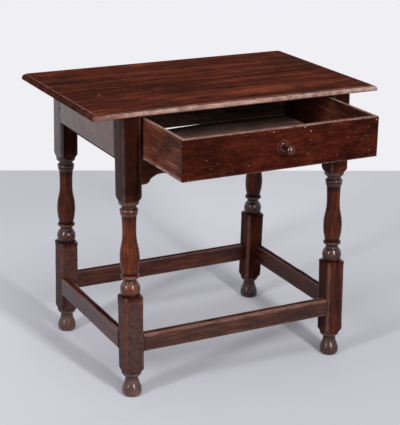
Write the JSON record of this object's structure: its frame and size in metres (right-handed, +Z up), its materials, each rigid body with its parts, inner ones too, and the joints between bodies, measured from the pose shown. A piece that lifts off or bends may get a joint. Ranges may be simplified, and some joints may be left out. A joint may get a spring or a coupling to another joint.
{
  "type": "tavern table",
  "caption": "Joined oak side table with a thumb-moulded two-board top, splayed turned legs, flush box stretchers and one nailed drawer that slides out.",
  "frame": {"origin": "on the floor, under the middle of the overall box with the drawer as it is stored, 199 mm open and with its knob", "axes": "+Z up; -Y out of the drawer side, the front; +X to the right of someone who faces the drawer"},
  "size_m": [0.766, 0.7074, 0.71],
  "materials": {
    "oak_top": "waxed, worn",
    "oak_frame": "waxed, worn at the corners",
    "oak_drawer": "waxed, worn along the edges",
    "oak_inside": "bare, dusty",
    "oak_pegs": "waxed",
    "wrought_iron": "dark, dull"
  },
  "bodies": {
    "table": {"top_board_front": "oak_top", "top_board_back": "oak_top", "top_pegs": "oak_pegs", "leg_front_left": "oak_frame", "leg_front_right": "oak_frame", "leg_back_left": "oak_frame", "leg_back_right": "oak_frame", "end_rail_left": "oak_frame", "end_rail_right": "oak_frame", "back_rail": "oak_frame", "drawer_rail": "oak_frame", "stretcher_front": "oak_frame", "stretcher_back": "oak_frame", "stretcher_left": "oak_frame", "stretcher_right": "oak_frame", "rail_pegs": "oak_pegs", "stretcher_pegs": "oak_pegs", "drawer_runner_left": "oak_inside", "drawer_runner_right": "oak_inside", "runner_nails": "wrought_iron"},
    "drawer": {"drawer_front": "oak_drawer", "drawer_side_left": "oak_drawer", "drawer_side_right": "oak_drawer", "drawer_back": "oak_inside", "drawer_bottom_front": "oak_inside", "drawer_bottom_back": "oak_inside", "drawer_knob": "oak_drawer", "drawer_nails": "wrought_iron"}
  },
  "joints": [
    {"name": "drawer_slide", "type": "slide", "parent": "table", "child": "drawer", "axis": [0, -1, 0], "range_m": [-0.199, 0.131]}
  ]
}
